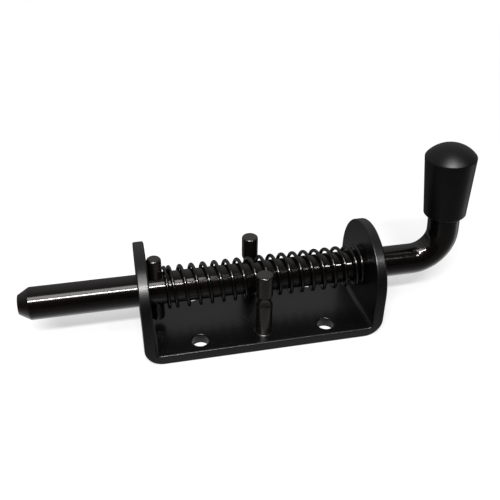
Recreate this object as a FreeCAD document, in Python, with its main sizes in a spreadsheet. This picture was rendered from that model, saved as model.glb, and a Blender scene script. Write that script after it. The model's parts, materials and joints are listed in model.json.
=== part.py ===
import FreeCAD, Part
import math
import os
import Sketcher
from FreeCAD import Rotation, Vector

# Spring loaded gate latch, in millimetres.
# +X runs along the rod from its nose to its handle and +Z stands up from the base.
# The origin is the middle of the bracket's underside.

doc = FreeCAD.newDocument("gate_latch")
sheet = doc.addObject("Spreadsheet::Sheet", "sizes")

driving_sizes = [
    ("bracket_length", 90.4, "bracket over both ears"),
    ("bracket_width", 39.7, "base and ears across"),
    ("plate_thickness", 4, "folded plate"),
    ("fold_inner_radius", 1.8, "inside of the folds"),
    ("fold_outer_radius", 7, "outside of the folds, drawn thinner there"),
    ("ear_rise", 17.7, "top of the ears above the rod axis"),
    ("edge_round", 0.6, "rounding along the plate's edges"),
    ("screw_hole_diameter", 6.4, "four holes in the base"),
    ("screw_spacing_long", 48.6, "hole to hole along the rod"),
    ("screw_spacing_wide", 27.2, "hole to hole across the rod"),
    ("hole_round", 0.4, "rounding of the screw holes' and rod holes' edges"),
    ("rod_diameter", 12, "bolt rod"),
    ("rod_clearance", 0.25, "rod to the ear holes, all round"),
    ("nose_reach", 42.2, "rod past the left ear"),
    ("nose_bevel_length", 4, "bevel along the rod"),
    ("nose_bevel_depth", 2.4, "bevel into the rod"),
    ("tail_reach", 17.6, "straight rod past the right ear"),
    ("bend_radius", 11.6, "bend, on the rod's centre line"),
    ("bend_angle", 94.3, "degrees turned, a little past square"),
    ("former_radius", 3.8, "round tool that the rod is bent over"),
    ("former_flat_depth", 1, "flat it presses into the inside of the bend"),
    ("grip_lift", 7.5, "bare rod between the bend and the knob"),
    ("grip_end_bevel", 1, "rod end inside the knob"),
    ("pin_diameter", 5.4, "cross pin"),
    ("pin_overhang", 0.7, "pin past the middle of the posts when turned"),
    ("pin_end_round", 1.2, "rounding of the pin's ends"),
    ("pin_seat_gap", 0.1, "pin to the left ear"),
    ("pin_base_gap", 2.4, "pin's lower end above the base"),
    ("wire_diameter", 1.4, "spring wire"),
    ("coil_clearance", 0.8, "inside of the coil to the rod"),
    ("coil_seat_gap", 0.1, "spring to the pin and to the right ear"),
    ("coil_closed_gap", 0.1, "between the turns of a closed end"),
    ("coil_closed_turns", 1, "turns in each closed end"),
    ("coil_active_turns", 16.6, "open turns"),
    ("coil_start_angle", 50, "degrees from the top, back to where the wire starts"),
    ("post_diameter", 6.3, "catch posts"),
    ("post_gap", 1.55, "post to the outside of the coil"),
    ("post_rise", 10.1, "top of the posts above the rod axis"),
    ("post_top_round", 0.8, "rounding of the post's top"),
    ("tenon_diameter", 4.6, "riveted foot of a post"),
    ("notch_radius", 4.3, "notch turned round a post"),
    ("notch_depth", 0.6, "notch into the post"),
    ("notch_drop", 1, "middle of the notch below the rod axis"),
    ("knob_wall", 1.95, "knob round the rod at its lower end"),
    ("knob_flare", 1.45, "rim wider than the lower end, all round"),
    ("knob_length", 23.9, "lower end to rim"),
    ("knob_dome_height", 4.7, "dome above the rim"),
    ("knob_lower_bevel", 0.4, "bevel round the lower end"),
    ("knob_rim_round", 0.5, "rounding of the rim"),
    ("socket_depth", 19, "bore in the knob"),
    ("socket_end_gap", 0.5, "rod end to the bottom of the bore"),
]
for row, (alias, value, note) in enumerate(driving_sizes, start=1):
    sheet.set(f"A{row}", note)
    sheet.set(f"B{row}", str(value))
    sheet.setAlias(f"B{row}", alias)
doc.recompute()

wire_sides = 8

# Places worked out from the driving sizes
ear_outer = "sizes.bracket_length / 2"
ear_inner = "(sizes.bracket_length / 2 - sizes.plate_thickness)"
half_width = "sizes.bracket_width / 2"
rod_radius = "sizes.rod_diameter / 2"
coil_outer = "(sizes.rod_diameter / 2 + sizes.coil_clearance + sizes.wire_diameter)"
coil_radius = "(sizes.rod_diameter / 2 + sizes.coil_clearance + sizes.wire_diameter / 2)"
post_offset = f"({coil_outer} + sizes.post_gap + sizes.post_diameter / 2)"
pin_half_length = f"({post_offset} + sizes.pin_overhang)"
axis_height = f"(sizes.plate_thickness + sizes.pin_base_gap + {pin_half_length})"
ear_top = f"({axis_height} + sizes.ear_rise)"
ear_centre = f"({ear_top} - {half_width})"
pin_place = f"(sizes.pin_seat_gap + sizes.pin_diameter / 2 - {ear_inner})"
coil_start = f"({pin_place} + (sizes.pin_diameter + sizes.wire_diameter) / 2 + sizes.coil_seat_gap)"
coil_end = f"({ear_inner} - sizes.coil_seat_gap - sizes.wire_diameter / 2)"
closed_pitch = "(sizes.wire_diameter + sizes.coil_closed_gap)"
closed_length = f"(sizes.coil_closed_turns * {closed_pitch})"
active_length = f"({coil_end} - {coil_start} - 2 * {closed_length})"
bend_start = f"({ear_outer} + sizes.tail_reach)"
bend_end_x = f"({bend_start} + sizes.bend_radius * sin(sizes.bend_angle))"
bend_end_z = "(sizes.bend_radius * (1 - cos(sizes.bend_angle)))"
grip_length = "(sizes.grip_lift + sizes.socket_depth - sizes.socket_end_gap)"
rod_tip = f"(-{ear_outer} - sizes.nose_reach)"


def number(expression):
    return float(sheet.evalExpression(expression))


def near(first, second):
    return abs(first - second) < 1e-4


def new_body(label):
    body = doc.addObject("PartDesign::Body", label)
    body.Label = label
    return body


def place(body, x, y, z, axis="vector(0; 0; 1)", angle="0"):
    body.setExpression("Placement", f"placement(vector({x}; {y}; {z}); rotation({axis}; {angle}))")


def new_sketch(body, name, role):
    plane = next(part for part in body.Origin.OriginFeatures if part.Role == role)
    sketch = body.newObject("Sketcher::SketchObject", name)
    sketch.AttachmentSupport = [(plane, "")]
    sketch.MapMode = "FlatFace"
    return sketch


def dimension(sketch, index, expression):
    sketch.setExpression(f"Constraints[{index}]", expression)


def locate(sketch, geometry, point, across, up):
    for kind, axis, distance in (("DistanceX", -2, across), ("DistanceY", -1, up)):
        if distance == "0":
            sketch.addConstraint(Sketcher.Constraint("PointOnObject", geometry, point, axis))
        else:
            rule = Sketcher.Constraint(kind, -1, 1, geometry, point, number(distance))
            dimension(sketch, sketch.addConstraint(rule), distance)


def add_outline(sketch, corners):
    points = [Vector(number(across), number(up), 0) for across, up in corners]
    count = len(points)
    for index in range(count):
        sketch.addGeometry(Part.LineSegment(points[index], points[(index + 1) % count]))
    for index, (across, up) in enumerate(corners):
        sketch.addConstraint(Sketcher.Constraint("Coincident", index, 2, (index + 1) % count, 1))
        locate(sketch, index, 1, across, up)


def add_circle(sketch, across, up, radius):
    centre = Vector(number(across), number(up), 0)
    geometry = sketch.addGeometry(Part.Circle(centre, Vector(0, 0, 1), number(radius)))
    locate(sketch, geometry, 3, across, up)
    rule = Sketcher.Constraint("Radius", geometry, number(radius))
    dimension(sketch, sketch.addConstraint(rule), radius)


def pad(body, sketch, length):
    feature = body.newObject("PartDesign::Pad", sketch.Name + "_pad")
    feature.Profile = sketch
    feature.SideType = "Symmetric"
    feature.setExpression("Length", length)
    doc.recompute()
    return feature


def cut_through(body, sketch):
    before = body.Shape.Volume
    feature = body.newObject("PartDesign::Pocket", sketch.Name + "_cut")
    feature.Profile = sketch
    feature.Type = "ThroughAll"
    feature.SideType = "Symmetric"
    doc.recompute()
    if body.Shape.Volume >= before:
        raise RuntimeError(f"{feature.Name} cuts nothing")
    return feature


def turn(body, sketch, kind):
    feature = body.newObject("PartDesign::" + kind, sketch.Name + "_turned")
    feature.Profile = sketch
    feature.ReferenceAxis = (sketch, ["V_Axis"])
    feature.Angle = 360
    doc.recompute()
    return feature


def edges_of(feature, wanted):
    names = []
    for index, edge in enumerate(feature.Shape.Edges, start=1):
        if not edge.Degenerated and wanted(edge):
            names.append(f"Edge{index}")
    return names


def round_edges(body, base, edges, radius):
    feature = body.newObject("PartDesign::Fillet", base.Name + "_round")
    feature.Base = (base, edges)
    feature.setExpression("Radius", radius)
    doc.recompute()
    return feature


def is_ring(edge, axis, position, radius):
    curve = edge.Curve
    if curve.TypeId != "Part::GeomCircle" or not near(curve.Radius, radius):
        return False
    return near(abs(curve.Axis.dot(axis)), 1) and near(curve.Center.dot(axis), position)


def build_bracket():
    body = new_body("u_bracket")
    blank = new_sketch(body, "bracket_blank", "XZ_Plane")
    add_outline(blank, [
        (f"-{ear_outer}", "0"),
        (ear_outer, "0"),
        (ear_outer, ear_top),
        (f"-{ear_outer}", ear_top),
    ])
    block = pad(body, blank, "sizes.bracket_width")

    # Outer folds, then the space between the ears and the inner folds
    def along_width(edge, half_span, height):
        first, last = edge.Vertexes
        return near(first.X, last.X) and all(
            near(abs(end.X), half_span) and near(end.Z, height) for end in (first, last))

    outer_span = number(ear_outer)
    folds = edges_of(block, lambda edge: along_width(edge, outer_span, 0))
    round_edges(body, block, folds, "sizes.fold_outer_radius")
    inside = new_sketch(body, "bracket_inside", "XZ_Plane")
    add_outline(inside, [
        (f"-{ear_inner}", "sizes.plate_thickness"),
        (ear_inner, "sizes.plate_thickness"),
        (ear_inner, f"{ear_top} + sizes.plate_thickness"),
        (f"-{ear_inner}", f"{ear_top} + sizes.plate_thickness"),
    ])
    channel = cut_through(body, inside)
    inner_span = number(ear_inner)
    floor = number("sizes.plate_thickness")
    folds = edges_of(channel, lambda edge: along_width(edge, inner_span, floor))
    round_edges(body, channel, folds, "sizes.fold_inner_radius")

    # Round heads of the ears
    head = new_sketch(body, "ear_head", "YZ_Plane")
    centre = Vector(0, number(ear_centre), 0)
    radius = number(half_width)
    above = number(f"{ear_top} + sizes.plate_thickness")
    across = Vector(radius, 0, 0)
    arc = Part.Arc(centre + across, centre + Vector(0, radius, 0), centre - across)
    corners = [Vector(-radius, above, 0), Vector(radius, above, 0)]
    head.addGeometry(arc)
    head.addGeometry(Part.LineSegment(arc.EndPoint, corners[0]))
    head.addGeometry(Part.LineSegment(corners[0], corners[1]))
    head.addGeometry(Part.LineSegment(corners[1], arc.StartPoint))
    for first, second in ((0, 1), (1, 2), (2, 3)):
        head.addConstraint(Sketcher.Constraint("Coincident", first, 2, second, 1))
    head.addConstraint(Sketcher.Constraint("Coincident", 3, 2, 0, 1))
    locate(head, 0, 3, "0", ear_centre)
    locate(head, 0, 1, half_width, ear_centre)
    head.addConstraint(Sketcher.Constraint("Horizontal", 0, 2, 0, 3))
    locate(head, 2, 1, f"-{half_width}", f"{ear_top} + sizes.plate_thickness")
    locate(head, 2, 2, half_width, f"{ear_top} + sizes.plate_thickness")
    rounded = cut_through(body, head)

    # Both faces' outlines, without the short joints between rim and sides
    def on_outline(edge):
        side = all(near(abs(end.Y), radius) for end in edge.Vertexes)
        across = edge.Curve.TypeId == "Part::GeomLine" and near(abs(edge.Curve.Direction.x), 1)
        joint = across and near(edge.Length, floor)
        rim = is_ring(edge, Vector(1, 0, 0), edge.CenterOfMass.x, radius)
        width_edge = edge.Curve.TypeId == "Part::GeomLine" and near(abs(edge.Curve.Direction.y), 1)
        return (side and not joint and not width_edge) or rim

    round_edges(body, rounded, edges_of(rounded, on_outline), "sizes.edge_round")

    rod_holes = new_sketch(body, "rod_holes", "YZ_Plane")
    bore = f"{rod_radius} + sizes.rod_clearance"
    add_circle(rod_holes, "0", axis_height, bore)
    bores = cut_through(body, rod_holes)
    bore_radius = number(bore)
    bore_edges = edges_of(
        bores, lambda edge: is_ring(edge, Vector(1, 0, 0), edge.CenterOfMass.x, bore_radius))
    round_edges(body, bores, bore_edges, "sizes.hole_round")
    base_holes = new_sketch(body, "base_holes", "XY_Plane")
    for long_side in ("", "-"):
        for wide_side in ("", "-"):
            along = f"{long_side}sizes.screw_spacing_long / 2"
            across = f"{wide_side}sizes.screw_spacing_wide / 2"
            add_circle(base_holes, along, across, "sizes.screw_hole_diameter / 2")
    for side in ("", "-"):
        add_circle(base_holes, "0", f"{side}{post_offset}", "sizes.tenon_diameter / 2")
    drilled = cut_through(body, base_holes)
    screw_radius = number("sizes.screw_hole_diameter / 2")
    screw_edges = edges_of(drilled, lambda edge: is_ring(edge, Vector(0, 0, 1), floor, screw_radius))
    round_edges(body, drilled, screw_edges, "sizes.hole_round")
    return body


def build_rod():
    body = new_body("bolt_rod")
    place(body, "0", "0", axis_height)
    path = new_sketch(body, "rod_path", "XZ_Plane")
    start = Vector(number(rod_tip), 0, 0)
    bend_from = Vector(number(bend_start), 0, 0)
    bend_to = Vector(number(bend_end_x), number(bend_end_z), 0)
    bend_radius = number("sizes.bend_radius")
    centre = bend_from + Vector(0, bend_radius, 0)
    half_bend = Rotation(Vector(0, 0, 1), number("sizes.bend_angle") / 2)
    middle = centre + half_bend.multVec(bend_from - centre)
    grip = Rotation(Vector(0, 0, 1), number("sizes.bend_angle")).multVec(Vector(number(grip_length), 0, 0))
    path.addGeometry(Part.LineSegment(start, bend_from))
    path.addGeometry(Part.Arc(bend_from, middle, bend_to))
    path.addGeometry(Part.LineSegment(bend_to, bend_to + grip))
    locate(path, 0, 1, rod_tip, "0")
    locate(path, 0, 2, bend_start, "0")
    path.addConstraint(Sketcher.Constraint("Tangent", 0, 2, 1, 1))
    path.addConstraint(Sketcher.Constraint("Tangent", 1, 2, 2, 1))
    rules = (
        ("Radius", 1, bend_radius, "sizes.bend_radius"),
        ("Distance", 2, grip.Length, grip_length),
        ("Angle", 2, math.radians(number("sizes.bend_angle")), "sizes.bend_angle"),
    )
    for kind, geometry, value, expression in rules:
        dimension(path, path.addConstraint(Sketcher.Constraint(kind, geometry, value)), expression)
    profile = new_sketch(body, "rod_section", "YZ_Plane")
    profile.setExpression("AttachmentOffset.Base.z", rod_tip)
    add_circle(profile, "0", "0", rod_radius)
    doc.recompute()
    rod = body.newObject("PartDesign::AdditivePipe", "rod_sweep")
    rod.Profile = profile
    rod.Spine = (path, ["Edge1", "Edge2", "Edge3"])
    doc.recompute()

    # Bevelled nose, and a small bevel on the end that the knob is pushed over
    radius = number(rod_radius)
    tip = number(rod_tip)
    nose = body.newObject("PartDesign::Chamfer", "nose_bevel")
    nose.Base = (rod, edges_of(rod, lambda edge: is_ring(edge, Vector(1, 0, 0), tip, radius)))
    nose.ChamferType = "Two distances"
    nose.setExpression("Size", "sizes.nose_bevel_length")
    nose.setExpression("Size2", "sizes.nose_bevel_depth")
    doc.recompute()
    grip_axis = grip.normalize()
    grip_end = (bend_to + grip_axis * number(grip_length)).dot(grip_axis)
    upward = Vector(grip_axis.x, 0, grip_axis.y)
    end_bevel = body.newObject("PartDesign::Chamfer", "grip_end_bevel")
    end_bevel.Base = (nose, edges_of(nose, lambda edge: is_ring(edge, upward, grip_end, radius)))
    end_bevel.setExpression("Size", "sizes.grip_end_bevel")
    doc.recompute()

    # Flat left on the inside of the bend by the plain round former
    former = new_sketch(body, "bend_former", "XZ_Plane")
    shift = f"(sizes.bend_radius - {rod_radius} + sizes.former_flat_depth - sizes.former_radius)"
    add_circle(former, f"{bend_start} + {shift} * sin(sizes.bend_angle / 2)",
               f"sizes.bend_radius - {shift} * cos(sizes.bend_angle / 2)", "sizes.former_radius")
    cut_through(body, former)
    pin_hole = new_sketch(body, "pin_hole", "XY_Plane")
    add_circle(pin_hole, pin_place, "0", "sizes.pin_diameter / 2")
    cut_through(body, pin_hole)
    return body


def build_pin():
    body = new_body("cross_pin")
    place(body, pin_place, "0", axis_height)
    section = new_sketch(body, "pin_section", "XY_Plane")
    add_circle(section, "0", "0", "sizes.pin_diameter / 2")
    shank = pad(body, section, f"2 * {pin_half_length}")
    ends = edges_of(shank, lambda edge: edge.Curve.TypeId == "Part::GeomCircle")
    round_edges(body, shank, ends, "sizes.pin_end_round")
    return body


def build_spring():
    body = new_body("compression_spring")
    place(body, "0", "0", axis_height, "vector(1; 0; 0)", "-sizes.coil_start_angle")
    # The flats of the wire stand where their section has the round wire's area
    corner = f"sizes.wire_diameter / 2 * sqrt(2 * pi / ({wire_sides} * sin({360 / wire_sides})))"
    closed_end = f"({coil_start} + {closed_length})"
    stages = [
        ("closed_left", coil_start, closed_pitch, "sizes.coil_closed_turns", "0"),
        ("open_coil", closed_end, f"{active_length} / sizes.coil_active_turns", "sizes.coil_active_turns",
         "sizes.coil_closed_turns"),
        ("closed_right", f"({coil_end} - {closed_length})", closed_pitch, "sizes.coil_closed_turns",
         "sizes.coil_closed_turns + sizes.coil_active_turns"),
    ]
    for name, start, pitch, turns, turned_before in stages:
        section = new_sketch(body, name + "_wire", "XZ_Plane")
        turned = f"rotation(vector(1; 0; 0); 360 * ({turned_before}))"
        section.setExpression("AttachmentOffset", f"placement(vector(0; 0; 0); {turned})")
        corners = []
        for side in range(wire_sides):
            angle = (side + 0.5) * 360 / wire_sides
            across = f"{start} + {corner} * cos({angle})"
            up = f"{coil_radius} + {corner} * sin({angle})"
            corners.append((across, up))
        add_outline(section, corners)
        doc.recompute()
        coil = body.newObject("PartDesign::AdditiveHelix", name)
        coil.Profile = section
        coil.ReferenceAxis = (section, ["H_Axis"])
        coil.Mode = "pitch-turns-angle"
        coil.setExpression("Pitch", pitch)
        coil.setExpression("Turns", turns)
        doc.recompute()
    return body


def build_post(label, side):
    body = new_body(label)
    place(body, "0", f"{side}{post_offset}", "0")
    profile = new_sketch(body, label + "_profile", "XZ_Plane")
    top = f"{axis_height} + sizes.post_rise"
    add_outline(profile, [
        ("0", "0"),
        ("sizes.tenon_diameter / 2", "0"),
        ("sizes.tenon_diameter / 2", "sizes.plate_thickness"),
        ("sizes.post_diameter / 2", "sizes.plate_thickness"),
        ("sizes.post_diameter / 2", top),
        ("0", top),
    ])
    post = turn(body, profile, "Revolution")
    top_height = number(top)
    post_radius = number("sizes.post_diameter / 2")
    top_edge = edges_of(post, lambda edge: is_ring(edge, Vector(0, 0, 1), top_height, post_radius))
    round_edges(body, post, top_edge, "sizes.post_top_round")
    notch = new_sketch(body, label + "_notch", "XZ_Plane")
    notch_centre = "sizes.post_diameter / 2 - sizes.notch_depth + sizes.notch_radius"
    add_circle(notch, notch_centre, f"{axis_height} - sizes.notch_drop", "sizes.notch_radius")
    before = body.Shape.Volume
    turn(body, notch, "Groove")
    if body.Shape.Volume >= before:
        raise RuntimeError(f"{label} has no notch")
    return body


def build_knob():
    body = new_body("handle_knob")
    seat_x = f"{bend_end_x} + sizes.grip_lift * cos(sizes.bend_angle)"
    seat_z = f"{axis_height} + {bend_end_z} + sizes.grip_lift * sin(sizes.bend_angle)"
    place(body, seat_x, "0", seat_z, "vector(0; 1; 0)", "90 - sizes.bend_angle")
    lower = f"({rod_radius} + sizes.knob_wall)"
    rim = f"({lower} + sizes.knob_flare)"
    peak = "(sizes.knob_length + sizes.knob_dome_height)"
    dome_radius = f"(({rim} ^ 2 + sizes.knob_dome_height ^ 2) / (2 * sizes.knob_dome_height))"
    profile = new_sketch(body, "knob_profile", "XZ_Plane")
    corners = [
        (rod_radius, "0"),
        (f"{lower} - sizes.knob_lower_bevel", "0"),
        (lower, "sizes.knob_lower_bevel"),
        (rim, "sizes.knob_length"),
        ("0", peak),
        ("0", "sizes.socket_depth"),
        (rod_radius, "sizes.socket_depth"),
    ]
    points = [Vector(number(across), number(up), 0) for across, up in corners]
    dome_centre = f"{peak} - {dome_radius}"
    dome = Part.Circle(Vector(0, number(dome_centre), 0), Vector(0, 0, 1), number(dome_radius))
    rim_index = 3
    for index, point in enumerate(points):
        following = points[(index + 1) % len(points)]
        if index == rim_index:
            start = dome.parameter(point)
            profile.addGeometry(Part.ArcOfCircle(dome, start, dome.parameter(following)))
        else:
            profile.addGeometry(Part.LineSegment(point, following))
    for index, (across, up) in enumerate(corners):
        profile.addConstraint(Sketcher.Constraint("Coincident", index, 2, (index + 1) % len(corners), 1))
        if up != peak:
            locate(profile, index, 1, across, up)
    locate(profile, rim_index, 3, "0", dome_centre)
    profile.addConstraint(Sketcher.Constraint("PointOnObject", rim_index, 2, -2))
    knob = turn(body, profile, "Revolution")
    rim_height = number("sizes.knob_length")
    rim_radius = number(rim)
    rim_edge = edges_of(knob, lambda edge: is_ring(edge, Vector(0, 0, 1), rim_height, rim_radius))
    round_edges(body, knob, rim_edge, "sizes.knob_rim_round")
    return body


pieces = [
    build_bracket(),
    build_post("front_post", "-"),
    build_post("rear_post", ""),
    build_rod(),
    build_pin(),
    build_spring(),
    build_knob(),
]
doc.recompute()
for item in doc.Objects:
    if "Invalid" in item.State or "Error" in item.State:
        raise RuntimeError(f"{item.Name} failed: {item.State}")
os.makedirs("parts", exist_ok=True)
for piece in pieces:
    if piece.Shape.isNull() or not piece.Shape.isValid() or len(piece.Shape.Solids) != 1:
        raise RuntimeError(f"{piece.Label} has no sound solid")
    piece.Shape.exportStep(f"parts/{piece.Label}.step")
    box = piece.Shape.optimalBoundingBox(False)
    print(f"{piece.Label}: {piece.Shape.Volume:.1f} mm3, x {box.XMin:.2f}..{box.XMax:.2f}, "
          f"y {box.YMin:.2f}..{box.YMax:.2f}, z {box.ZMin:.2f}..{box.ZMax:.2f}")
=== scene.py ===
import json
import math

import bmesh
import bpy
from mathutils import Matrix, Vector


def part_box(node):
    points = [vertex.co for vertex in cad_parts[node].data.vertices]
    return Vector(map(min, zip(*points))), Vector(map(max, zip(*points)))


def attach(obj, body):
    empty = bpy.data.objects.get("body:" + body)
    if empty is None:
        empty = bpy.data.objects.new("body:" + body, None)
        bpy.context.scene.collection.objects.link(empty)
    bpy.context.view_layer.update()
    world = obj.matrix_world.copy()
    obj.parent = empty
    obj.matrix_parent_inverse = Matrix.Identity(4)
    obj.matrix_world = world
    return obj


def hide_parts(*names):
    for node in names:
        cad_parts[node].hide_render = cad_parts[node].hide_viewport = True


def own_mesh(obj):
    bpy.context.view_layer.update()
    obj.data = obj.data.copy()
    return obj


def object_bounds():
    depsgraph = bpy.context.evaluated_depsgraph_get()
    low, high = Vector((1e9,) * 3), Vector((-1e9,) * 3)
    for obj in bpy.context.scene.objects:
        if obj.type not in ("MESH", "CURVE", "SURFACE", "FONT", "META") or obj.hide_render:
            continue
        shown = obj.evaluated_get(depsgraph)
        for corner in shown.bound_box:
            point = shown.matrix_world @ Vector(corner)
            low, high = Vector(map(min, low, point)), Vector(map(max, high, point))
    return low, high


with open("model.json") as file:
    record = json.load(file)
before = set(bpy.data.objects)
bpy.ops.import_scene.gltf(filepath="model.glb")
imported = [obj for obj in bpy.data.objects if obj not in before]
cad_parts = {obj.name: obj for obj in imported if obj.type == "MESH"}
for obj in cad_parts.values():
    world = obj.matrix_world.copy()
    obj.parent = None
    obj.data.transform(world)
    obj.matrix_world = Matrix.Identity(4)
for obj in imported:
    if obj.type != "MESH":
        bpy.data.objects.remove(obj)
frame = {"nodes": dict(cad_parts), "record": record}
cadLow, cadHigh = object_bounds()
nodes = frame["nodes"]
scene = bpy.context.scene
scene.view_settings.view_transform = "Standard"
print(f"frame: {len(nodes)} nodes, {(cadHigh - cadLow).x * 1000:.1f} mm long")


# Small helpers for node trees

def addNode(tree, kind, inputs=None, **settings):
    node = tree.nodes.new(kind)
    for name, value in settings.items():
        setattr(node, name, value)
    for name, value in (inputs or {}).items():
        if isinstance(value, bpy.types.NodeSocket):
            tree.links.new(value, node.inputs[name])
        else:
            node.inputs[name].default_value = value
    return node


def mathNode(tree, operation, first, second=0.0):
    node = addNode(tree, "ShaderNodeMath", {0: first, 1: second}, operation=operation)
    return node.outputs[0]


def blendColour(tree, amount, first, second):
    node = addNode(tree, "ShaderNodeMix", data_type="RGBA")
    for socket, value in (("Factor_Float", amount), ("A_Color", first), ("B_Color", second)):
        target = next(item for item in node.inputs if item.identifier == socket)
        if isinstance(value, bpy.types.NodeSocket):
            tree.links.new(value, target)
        else:
            target.default_value = value
    return next(item for item in node.outputs if item.identifier == "Result_Color")


def rampValue(tree, value, low, high, fromLow=0.0, fromHigh=1.0):
    inputs = {"Value": value, "From Min": fromLow, "From Max": fromHigh, "To Min": low, "To Max": high}
    return addNode(tree, "ShaderNodeMapRange", inputs).outputs["Result"]


def newGroup(name, inputs, outputs):
    tree = bpy.data.node_groups.new(name, "ShaderNodeTree")
    for title, kind in inputs:
        tree.interface.new_socket(title, in_out="INPUT", socket_type=kind)
    for title, kind in outputs:
        tree.interface.new_socket(title, in_out="OUTPUT", socket_type=kind)
    return tree, tree.nodes.new("NodeGroupInput").outputs, tree.nodes.new("NodeGroupOutput").inputs


def useGroup(tree, group, inputs):
    node = tree.nodes.new("ShaderNodeGroup")
    node.node_tree = group
    for name, value in inputs.items():
        if isinstance(value, bpy.types.NodeSocket):
            tree.links.new(value, node.inputs[name])
        else:
            node.inputs[name].default_value = value
    return node.outputs


def newMaterial(name):
    material = bpy.data.materials.new(name)
    material.use_nodes = True
    tree = material.node_tree
    return material, tree, tree.nodes["Principled BSDF"]


def paint(piece, material):
    piece.data.materials.clear()
    piece.data.materials.append(material)


# Shared surface effects

coatGrain = {"gritFiner": 3.7, "cloudFrom": 0.35, "cloudTo": 0.65, "gritFrom": 0.3, "gritTo": 0.7}
dustFall = {
    "patchScale": 0.21, "patchFrom": 0.58, "patchTo": 0.66,
    "steepest": 0.2, "flattest": 0.9, "dulling": 0.4,
}


def makeCoatGroup():
    value, vector = "NodeSocketFloat", "NodeSocketVector"
    tree, given, out = newGroup(
        "sprayedCoat",
        [("Vector", vector), ("Peel Scale", value), ("Cloud Scale", value)],
        [("Peel", value), ("Cloud", value), ("Grit", value)])
    peel = addNode(tree, "ShaderNodeTexNoise", {
        "Vector": given["Vector"], "Scale": given["Peel Scale"], "Detail": 1.0, "Roughness": 0.4})
    cloud = addNode(tree, "ShaderNodeTexNoise", {
        "Vector": given["Vector"], "Scale": given["Cloud Scale"], "Detail": 4.0, "Roughness": 0.55})
    fineScale = mathNode(tree, "MULTIPLY", given["Peel Scale"], coatGrain["gritFiner"])
    grit = addNode(tree, "ShaderNodeTexNoise", {
        "Vector": given["Vector"], "Scale": fineScale, "Detail": 2.0, "Roughness": 0.6})
    tree.links.new(peel.outputs["Fac"], out["Peel"])
    tree.links.new(cloud.outputs["Fac"], out["Cloud"])
    tree.links.new(grit.outputs["Fac"], out["Grit"])
    return tree


def makeDustGroup():
    value, vector = "NodeSocketFloat", "NodeSocketVector"
    tree, given, out = newGroup(
        "settledDust",
        [("Vector", vector), ("Scale", value), ("Size", value)],
        [("Specks", value)])
    cells = addNode(tree, "ShaderNodeTexVoronoi", {"Vector": given["Vector"], "Scale": given["Scale"]})
    patchScale = mathNode(tree, "MULTIPLY", given["Scale"], dustFall["patchScale"])
    patches = addNode(tree, "ShaderNodeTexNoise", {"Vector": given["Vector"], "Scale": patchScale})
    near = mathNode(tree, "LESS_THAN", cells.outputs["Distance"], given["Size"])
    some = rampValue(tree, patches.outputs["Fac"], 0.0, 1.0, dustFall["patchFrom"], dustFall["patchTo"])
    facing = addNode(tree, "ShaderNodeNewGeometry")
    upward = addNode(tree, "ShaderNodeSeparateXYZ", {"Vector": facing.outputs["Normal"]})
    lying = rampValue(tree, upward.outputs["Z"], 0.0, 1.0, dustFall["steepest"], dustFall["flattest"])
    specks = mathNode(tree, "MULTIPLY", mathNode(tree, "MULTIPLY", near, some), lying)
    tree.links.new(specks, out["Specks"])
    return tree


coatGroup = makeCoatGroup()
dustGroup = makeDustGroup()
print("shared effects: sprayed coat, settled dust")


# Finishes of the five material slots

def makeCoat(name, look):
    material, tree, shader = newMaterial(name)
    place = addNode(tree, "ShaderNodeTexCoord").outputs["Object"]
    stretched = addNode(tree, "ShaderNodeMapping", {"Vector": place, "Scale": look["stretch"]})
    coat = useGroup(tree, coatGroup, {
        "Vector": stretched.outputs["Vector"],
        "Peel Scale": look["peelScale"],
        "Cloud Scale": look["cloudScale"],
    })
    dust = useGroup(tree, dustGroup, {
        "Vector": place,
        "Scale": look["dustScale"],
        "Size": look["dustSize"],
    })
    cloudy = rampValue(tree, coat["Cloud"], 0.0, 1.0, coatGrain["cloudFrom"], coatGrain["cloudTo"])
    colour = blendColour(tree, cloudy, look["deep"], look["thin"])
    dusty = mathNode(tree, "MULTIPLY", dust["Specks"], look["dustAmount"])
    tree.links.new(blendColour(tree, dusty, colour, look["dust"]), shader.inputs["Base Color"])
    gloss = rampValue(tree, coat["Grit"], look["smooth"], look["rough"],
                      coatGrain["gritFrom"], coatGrain["gritTo"])
    dull = mathNode(tree, "MULTIPLY_ADD", dusty, dustFall["dulling"])
    tree.links.new(gloss, dull.node.inputs[2])
    tree.links.new(dull, shader.inputs["Roughness"])
    bump = addNode(tree, "ShaderNodeBump", {
        "Height": coat["Peel"], "Strength": look["peelStrength"], "Distance": look["peelDepth"]})
    tree.links.new(bump.outputs["Normal"], shader.inputs["Normal"])
    shader.inputs["Specular IOR Level"].default_value = look["specular"]
    shader.inputs["Specular Tint"].default_value = look["tint"]
    return material


dustGrey = (0.05, 0.05, 0.05, 1.0)
bracketLook = {
    "deep": (0.0010, 0.0010, 0.0011, 1.0), "thin": (0.0018, 0.0018, 0.0020, 1.0), "dust": dustGrey,
    "smooth": 0.26, "rough": 0.33, "specular": 0.56, "tint": (1.0, 1.0, 1.0, 1.0),
    "stretch": (1.0, 1.0, 1.0), "peelScale": 900.0, "peelStrength": 0.20, "peelDepth": 0.00005,
    "cloudScale": 60.0, "dustScale": 420.0, "dustSize": 0.05, "dustAmount": 0.25,
}
postLook = {
    "deep": (0.0014, 0.0012, 0.0011, 1.0), "thin": (0.0030, 0.0025, 0.0021, 1.0), "dust": dustGrey,
    "smooth": 0.22, "rough": 0.32, "specular": 1.00, "tint": (1.0, 0.94, 0.88, 1.0),
    "stretch": (1.0, 1.0, 0.5), "peelScale": 1100.0, "peelStrength": 0.22, "peelDepth": 0.00005,
    "cloudScale": 120.0, "dustScale": 600.0, "dustSize": 0.05, "dustAmount": 0.2,
}
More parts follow.
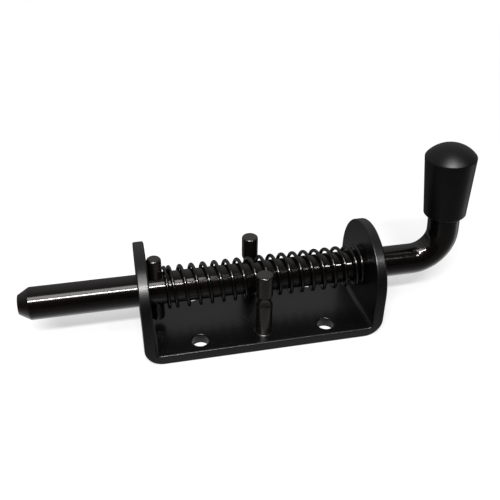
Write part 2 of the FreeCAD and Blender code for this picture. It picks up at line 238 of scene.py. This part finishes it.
rodLook = {
    "deep": (0.0010, 0.0009, 0.0009, 1.0), "thin": (0.0024, 0.0015, 0.0012, 1.0), "dust": dustGrey,
    "smooth": 0.10, "rough": 0.15, "specular": 0.50, "tint": (1.0, 0.96, 0.95, 1.0),
    "stretch": (0.25, 1.0, 1.0), "peelScale": 700.0, "peelStrength": 0.12, "peelDepth": 0.00003,
    "cloudScale": 90.0, "dustScale": 520.0, "dustSize": 0.05, "dustAmount": 0.2,
}
springLook = {
    "deep": (0.0010, 0.0010, 0.0010, 1.0), "thin": (0.0020, 0.0018, 0.0017, 1.0), "dust": dustGrey,
    "smooth": 0.12, "rough": 0.19, "specular": 0.60, "tint": (1.0, 0.97, 0.94, 1.0),
    "stretch": (1.0, 1.0, 1.0), "peelScale": 1600.0, "peelStrength": 0.12, "peelDepth": 0.00002,
    "cloudScale": 200.0, "dustScale": 700.0, "dustSize": 0.05, "dustAmount": 0.15,
}
knobLook = {
    "deep": (0.0012, 0.0012, 0.0013, 1.0), "thin": (0.0020, 0.0020, 0.0022, 1.0), "dust": dustGrey,
    "smooth": 0.34, "rough": 0.42, "specular": 0.33, "tint": (1.0, 1.0, 1.0, 1.0),
    "stretch": (1.0, 1.0, 1.0), "peelScale": 2600.0, "peelStrength": 0.30, "peelDepth": 0.00004,
    "cloudScale": 70.0, "dustScale": 480.0, "dustSize": 0.06, "dustAmount": 0.25,
}
finishes = {
    "bracket_paint": makeCoat("bracketPaint", bracketLook),
    "post_paint": makeCoat("postPaint", postLook),
    "rod_enamel": makeCoat("rodEnamel", rodLook),
    "spring_steel": makeCoat("springGloss", springLook),
    "knob_plastic": makeCoat("knobPlastic", knobLook),
}
for subpart in frame["record"]["subparts"]:
    paint(nodes[subpart["node"]], finishes[subpart["material_slot"]])
print(f"finishes: {len(finishes)} coats on {len(nodes)} nodes")


# Crumpled place that the bending tool leaves inside the bend

crumple = {
    "middle": (0.0670, 0.0, 0.0276), "core": 0.0035, "reach": 0.0062,
    "scale": 380.0, "strength": 0.75, "depth": 0.0007,
}


def addCrumple(material):
    tree = material.node_tree
    shader = tree.nodes["Principled BSDF"]
    coatNormal = shader.inputs["Normal"].links[0].from_socket
    place = addNode(tree, "ShaderNodeTexCoord").outputs["Object"]
    away = addNode(tree, "ShaderNodeVectorMath", {0: place, 1: crumple["middle"]}, operation="DISTANCE")
    near = rampValue(tree, away.outputs["Value"], 1.0, 0.0, crumple["core"], crumple["reach"])
    folds = addNode(tree, "ShaderNodeTexNoise", {"Vector": place, "Scale": crumple["scale"], "Detail": 1.0})
    height = mathNode(tree, "MULTIPLY", near, folds.outputs["Fac"])
    bump = addNode(tree, "ShaderNodeBump", {
        "Height": height, "Normal": coatNormal,
        "Strength": crumple["strength"], "Distance": crumple["depth"]})
    tree.links.new(bump.outputs["Normal"], shader.inputs["Normal"])


addCrumple(finishes["rod_enamel"])
print("crumpled place inside the bend")


# Round wire coil in place of the plain sided one

spring = {
    "wire": 0.0014, "wireSides": 16, "stepsPerTurn": 40,
    "closedTurns": 1.0, "closedGap": 0.0001, "openTurns": 16.6, "easeTurns": 0.15,
    "startAngle": 50.0, "rodClearance": 0.0008, "rodRadius": 0.006,
    "endBevel": 0.0002, "bevelSteps": 2, "fewestSteps": 4,
}


def makeSpring():
    low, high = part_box("compression_spring")
    wireRadius = spring["wire"] / 2
    axisPoint = Vector((0.0, 0.0, (low.z + high.z) / 2))
    coilRadius = spring["rodRadius"] + spring["rodClearance"] + wireRadius
    startX = low.x + wireRadius
    closedPitch = spring["wire"] + spring["closedGap"]
    span = high.x - low.x - spring["wire"]
    openPitch = (span - 2 * spring["closedTurns"] * closedPitch) / spring["openTurns"]

    bm = bmesh.new()
    section = bmesh.ops.create_circle(
        bm, cap_ends=True, radius=wireRadius, segments=spring["wireSides"])["verts"]
    upright = Matrix.Rotation(math.radians(90), 4, "X")  # section across the wire
    outward = Matrix.Translation((startX, 0.0, coilRadius))
    turned = Matrix.Rotation(math.radians(-spring["startAngle"]), 4, "X")
    seat = Matrix.Translation(axisPoint) @ turned @ outward @ upright
    bmesh.ops.transform(bm, matrix=seat, verts=section)

    ease = spring["easeTurns"]
    meanPitch = (closedPitch + openPitch) / 2
    stages = [
        (spring["closedTurns"] - ease, closedPitch),
        (2 * ease, meanPitch),
        (spring["openTurns"] - 2 * ease, openPitch),
        (2 * ease, meanPitch),
        (spring["closedTurns"] - ease, closedPitch),
    ]
    front = list(bm.faces)
    for turns, pitch in stages:
        steps = max(spring["fewestSteps"], round(turns * spring["stepsPerTurn"]))
        swept = bmesh.ops.spin(
            bm, geom=front, cent=axisPoint, axis=(1.0, 0.0, 0.0), angle=2 * math.pi * turns,
            dvec=(pitch * turns / steps, 0.0, 0.0), steps=steps, use_merge=False)
        front = [item for item in swept["geom_last"] if isinstance(item, bmesh.types.BMFace)]
    bmesh.ops.recalc_face_normals(bm, faces=bm.faces)
    cutEnds = [face for face in bm.faces if len(face.verts) > 4]
    rims = list({edge for face in cutEnds for edge in face.edges})
    bmesh.ops.bevel(bm, geom=rims, offset=spring["endBevel"], segments=spring["bevelSteps"],
                    affect="EDGES", profile=0.5, material=-1)
    for face in bm.faces:
        face.smooth = len(face.verts) == 4
    mesh = bpy.data.meshes.new("coil_spring")
    bm.to_mesh(mesh)
    bm.free()
    piece = bpy.data.objects.new("coil_spring", mesh)
    scene.collection.objects.link(piece)
    return piece, low, high


coilSpring, springLow, springHigh = makeSpring()
paint(coilSpring, finishes["spring_steel"])
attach(coilSpring, "spring")
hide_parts("compression_spring")
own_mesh(coilSpring)


# Paint run into the corner round the foot of each post

footBead = {
    "rise": 0.0003, "spread": 0.0004, "sink": 0.0002, "steps": 48, "mergeWithin": 1e-6,
    "hollow": ((0.25, 0.4), (0.6, 0.1)),  # shares of spread and rise
    "bayLift": 0.0005,  # the screw bays begin this far above the plate
}


def makeFootBead(post):
    low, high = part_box(post)
    bay = frame["record"]["physics"]["openings"][0]["box_m"]
    plateTop = bay[0][2] - footBead["bayLift"]
    middle = Vector(((low.x + high.x) / 2, (low.y + high.y) / 2, 0.0))
    radius = (high.x - low.x) / 2
    sink, rise, spread = footBead["sink"], footBead["rise"], footBead["spread"]
    hollow = [(radius + spread * out, rise * up) for out, up in footBead["hollow"]]
    outline = [
        (radius - sink, -sink), (radius - sink, rise), (radius, rise),
        *hollow, (radius + spread, 0.0), (radius + spread, -sink),
    ]
    bm = bmesh.new()
    ring = [bm.verts.new(middle + Vector((out, 0.0, plateTop + up))) for out, up in outline]
    edges = [bm.edges.new((ring[index], ring[index - 1])) for index in range(len(ring))]
    bmesh.ops.spin(bm, geom=ring + edges, cent=middle, axis=(0.0, 0.0, 1.0), angle=2 * math.pi,
                   steps=footBead["steps"], use_merge=True)
    bmesh.ops.remove_doubles(bm, verts=bm.verts, dist=footBead["mergeWithin"])
    bmesh.ops.recalc_face_normals(bm, faces=bm.faces)
    for face in bm.faces:
        face.smooth = True
    mesh = bpy.data.meshes.new(post + "_bead")
    bm.to_mesh(mesh)
    bm.free()
    bead = bpy.data.objects.new(post + "_bead", mesh)
    scene.collection.objects.link(bead)
    paint(bead, finishes["bracket_paint"])
    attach(bead, "bracket")


for post in ("front_post", "rear_post"):
    makeFootBead(post)
print("paint beads round both posts")


# Studio: white floor, three lamps, a room that is dark in front

studio = {
    "floorSize": (1.6, 1.2), "floorMiddle": (0.0, 0.42), "floorColour": (0.90, 0.90, 0.90, 1.0),
    "nearWhite": 0.52, "fadeFrom": 0.12, "fadeTo": 0.40, "mirroredFade": 0.014, "mirroredGlow": 0.09,
    "frontShare": 0.07, "backGlow": 0.42, "horizonGlow": 0.26,
    "glowFrom": 0.25, "glowTo": 0.62, "depthFrom": -0.5, "depthTo": 0.5,
}


def makeFloor():
    bm = bmesh.new()
    bmesh.ops.create_grid(bm, x_segments=1, y_segments=1, size=0.5)
    bmesh.ops.scale(bm, vec=(*studio["floorSize"], 1.0), verts=bm.verts)
    bmesh.ops.translate(bm, vec=(*studio["floorMiddle"], cadLow.z), verts=bm.verts)
    mesh = bpy.data.meshes.new("floor")
    bm.to_mesh(mesh)
    bm.free()
    floor = bpy.data.objects.new("floor", mesh)
    scene.collection.objects.link(floor)
    material, tree, shader = newMaterial("whitePaper")
    tree.nodes.remove(shader)
    place = addNode(tree, "ShaderNodeTexCoord").outputs["Object"]
    away = addNode(tree, "ShaderNodeVectorMath", {0: place}, operation="LENGTH").outputs["Value"]
    far = rampValue(tree, away, 0.0, 1.0, studio["fadeFrom"], studio["fadeTo"])
    path = addNode(tree, "ShaderNodeLightPath").outputs
    whiter = rampValue(tree, far, studio["nearWhite"], 1.0)
    straight = mathNode(tree, "MULTIPLY", whiter, path["Is Camera Ray"])
    across = addNode(tree, "ShaderNodeSeparateXYZ", {"Vector": place}).outputs["Y"]
    steps = mathNode(tree, "DIVIDE", mathNode(tree, "ABSOLUTE", across), -studio["mirroredFade"])
    dimmed = mathNode(tree, "SUBTRACT", 1.0, mathNode(tree, "EXPONENT", steps))
    glossy = mathNode(tree, "MAXIMUM", path["Is Glossy Ray"], path["Is Transmission Ray"])
    mirrored = mathNode(tree, "MULTIPLY", dimmed, glossy)
    white = (1.0, 1.0, 1.0, 1.0)
    surface = addNode(tree, "ShaderNodeBsdfDiffuse", {"Color": studio["floorColour"]}).outputs[0]
    for share, strength in ((straight, 1.0), (mirrored, studio["mirroredGlow"])):
        glow = addNode(tree, "ShaderNodeEmission", {"Color": white, "Strength": strength}).outputs[0]
        surface = addNode(tree, "ShaderNodeMixShader", {0: share, 1: surface, 2: glow}).outputs[0]
    tree.links.new(surface, tree.nodes["Material Output"].inputs["Surface"])
    paint(floor, material)


keyStrip = {"elevation": 51.0, "distance": 2.0, "shift": -0.50, "size": (1.2, 0.15), "power": 50.0}
topBox = {"elevation": 69.0, "distance": 2.0, "shift": -0.30, "size": (1.0, 0.64), "power": 12.0}
sideStrip = {"elevation": 51.0, "distance": 2.0, "shift": 0.68, "size": (0.10, 0.15), "power": 4.2}


def makeLamp(name, lamp):
    light = bpy.data.lights.new(name, "AREA")
    light.shape = "RECTANGLE"
    light.size, light.size_y = lamp["size"]
    light.energy = lamp["power"]
    rise = math.radians(lamp["elevation"])
    toward = Vector((0.0, -math.cos(rise), math.sin(rise)))
    holder = bpy.data.objects.new(name, light)
    holder.location = toward * lamp["distance"] + Vector((lamp["shift"], 0.0, 0.0))
    holder.rotation_euler = toward.to_track_quat("Z", "Y").to_euler()
    scene.collection.objects.link(holder)


def makeWorld():
    world = bpy.data.worlds.new("studioRoom")
    world.use_nodes = True
    scene.world = world
    tree = world.node_tree
    background = tree.nodes["Background"]
    direction = addNode(tree, "ShaderNodeTexCoord").outputs["Generated"]
    parts = addNode(tree, "ShaderNodeSeparateXYZ", {"Vector": direction}).outputs
    height = rampValue(tree, parts["Z"], studio["horizonGlow"], studio["backGlow"],
                       studio["glowFrom"], studio["glowTo"])
    depth = rampValue(tree, parts["Y"], studio["frontShare"], 1.0, studio["depthFrom"], studio["depthTo"])
    room = mathNode(tree, "MULTIPLY", height, depth)
    camera = addNode(tree, "ShaderNodeLightPath").outputs["Is Camera Ray"]
    shown = addNode(tree, "ShaderNodeMix", {"Factor": camera, "B": 1.0})
    tree.links.new(room, shown.inputs["A"])
    background.inputs["Color"].default_value = (1.0, 1.0, 1.0, 1.0)
    tree.links.new(shown.outputs["Result"], background.inputs["Strength"])


makeFloor()
makeLamp("keyStrip", keyStrip)
makeLamp("topBox", topBox)
makeLamp("sideStrip", sideStrip)
makeWorld()
print("studio: floor, three lamps, room")


# Camera at the photograph's viewing angle

view = {
    "azimuth": -12.50, "elevation": 33.70, "roll": 0.66, "distance": 0.24499,
    "target": (-0.00276, 0.0, 0.03254), "lens": 47.59, "sensor": 36.0, "nearest": 0.01,
}


def makeCamera():
    turn, rise = math.radians(view["azimuth"]), math.radians(view["elevation"])
    back = Vector((math.sin(turn) * math.cos(rise), -math.cos(turn) * math.cos(rise), math.sin(rise)))
    right = Vector((math.cos(turn), math.sin(turn), 0.0))
    up = back.cross(right)
    level = Matrix((right, up, back)).transposed().to_4x4()
    lens = bpy.data.cameras.new("camera")
    lens.lens = view["lens"]
    lens.sensor_width = view["sensor"]
    lens.clip_start = view["nearest"]
    camera = bpy.data.objects.new("camera", lens)
    rolled = level @ Matrix.Rotation(math.radians(view["roll"]), 4, "Z")
    camera.matrix_world = Matrix.Translation(Vector(view["target"]) + back * view["distance"]) @ rolled
    scene.collection.objects.link(camera)
    scene.camera = camera


makeCamera()
print("camera set")
